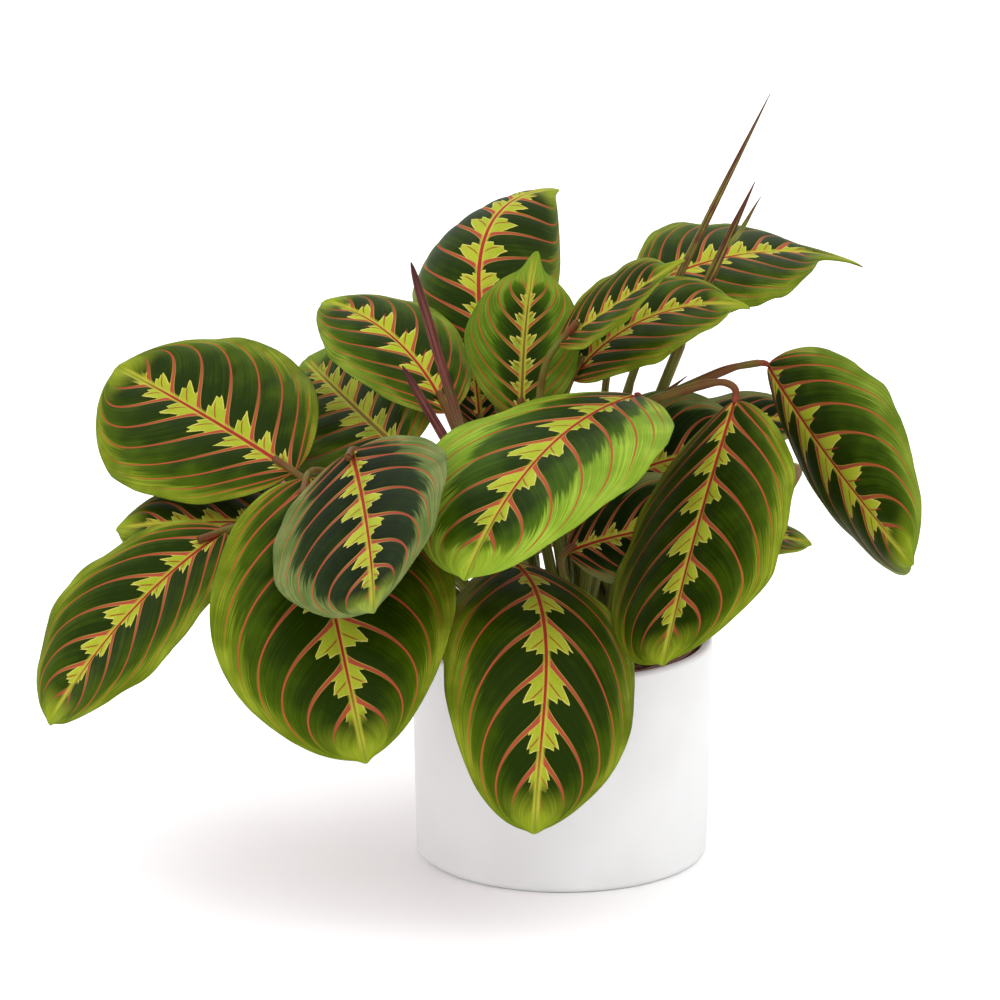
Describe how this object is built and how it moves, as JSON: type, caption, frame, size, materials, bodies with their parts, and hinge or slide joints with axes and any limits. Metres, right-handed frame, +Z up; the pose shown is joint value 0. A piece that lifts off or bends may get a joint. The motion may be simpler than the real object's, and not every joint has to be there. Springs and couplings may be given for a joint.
{
  "type": "potted prayer plant",
  "caption": "Low bushy prayer plant with oval, red-veined, lime-splashed leaves on thin stalks, in a nursery pot set in a plain white ceramic cylinder pot.",
  "frame": {"origin": "middle of the ceramic pot's flat foot, where it rests on a table", "axes": "+Z up, -Y towards the plant's front, +X to the front viewer's right, the plant's longest extent"},
  "size_m": [0.3983, 0.3425, 0.3552],
  "materials": {
    "white_ceramic": "matt to satin white glaze, smooth",
    "nursery_plastic": "thin red-brown moulded plastic, satin",
    "potting_soil": "dark crumbly peat and coir with bark fibres",
    "leaf_blade": "satin green leaf with dark blotches, lime centre lobes, red veins and a burgundy underside",
    "leaf_stalk": "smooth green stalk flushed purple",
    "rolled_leaf": "purple-brown rolled young leaf, green at its neck"
  },
  "bodies": {
    "root": {"leaf_back_centre": "leaf_blade", "leaf_back_left": "leaf_blade", "leaf_back_low": "leaf_blade", "leaf_back_right": "leaf_blade", "leaf_behind_left": "leaf_blade", "leaf_centre_bright": "leaf_blade", "leaf_front_dark": "leaf_blade", "leaf_front_hanging": "leaf_blade", "leaf_front_left": "leaf_blade", "leaf_inner_low_right": "leaf_blade", "leaf_inner_middle": "leaf_blade", "leaf_inner_right": "leaf_blade", "leaf_low_left": "leaf_blade", "leaf_narrow_folded": "leaf_blade", "leaf_right_big": "leaf_blade", "leaf_right_far": "leaf_blade", "leaf_right_low": "leaf_blade", "leaf_shaded_left": "leaf_blade", "leaf_top": "leaf_blade", "leaf_top_right_tailed": "leaf_blade", "leaf_under_left": "leaf_blade", "leaf_upper_centre": "leaf_blade", "leaf_upper_left": "leaf_blade", "leaf_upper_left_oval": "leaf_blade", "leaf_upper_right": "leaf_blade", "nursery_pot": "nursery_plastic", "pot": "white_ceramic", "potting_soil": "potting_soil", "shoot_left_short": "rolled_leaf", "shoot_left_tall": "rolled_leaf", "shoot_right_forked": "rolled_leaf", "shoot_right_small": "rolled_leaf", "shoot_right_tall": "rolled_leaf", "stalk_back_centre": "leaf_stalk", "stalk_back_left": "leaf_stalk", "stalk_back_low": "leaf_stalk", "stalk_back_right": "leaf_stalk", "stalk_behind_left": "leaf_stalk", "stalk_centre_bright": "leaf_stalk", "stalk_front_dark": "leaf_stalk", "stalk_front_hanging": "leaf_stalk", "stalk_front_left": "leaf_stalk", "stalk_inner_low_right": "leaf_stalk", "stalk_inner_middle": "leaf_stalk", "stalk_inner_right": "leaf_stalk", "stalk_low_left": "leaf_stalk", "stalk_narrow_folded": "leaf_stalk", "stalk_right_big": "leaf_stalk", "stalk_right_far": "leaf_stalk", "stalk_right_low": "leaf_stalk", "stalk_shaded_left": "leaf_stalk", "stalk_top": "leaf_stalk", "stalk_top_right_tailed": "leaf_stalk", "stalk_under_left": "leaf_stalk", "stalk_upper_centre": "leaf_stalk", "stalk_upper_left": "leaf_stalk", "stalk_upper_left_oval": "leaf_stalk", "stalk_upper_right": "leaf_stalk"}
  },
  "joints": []
}
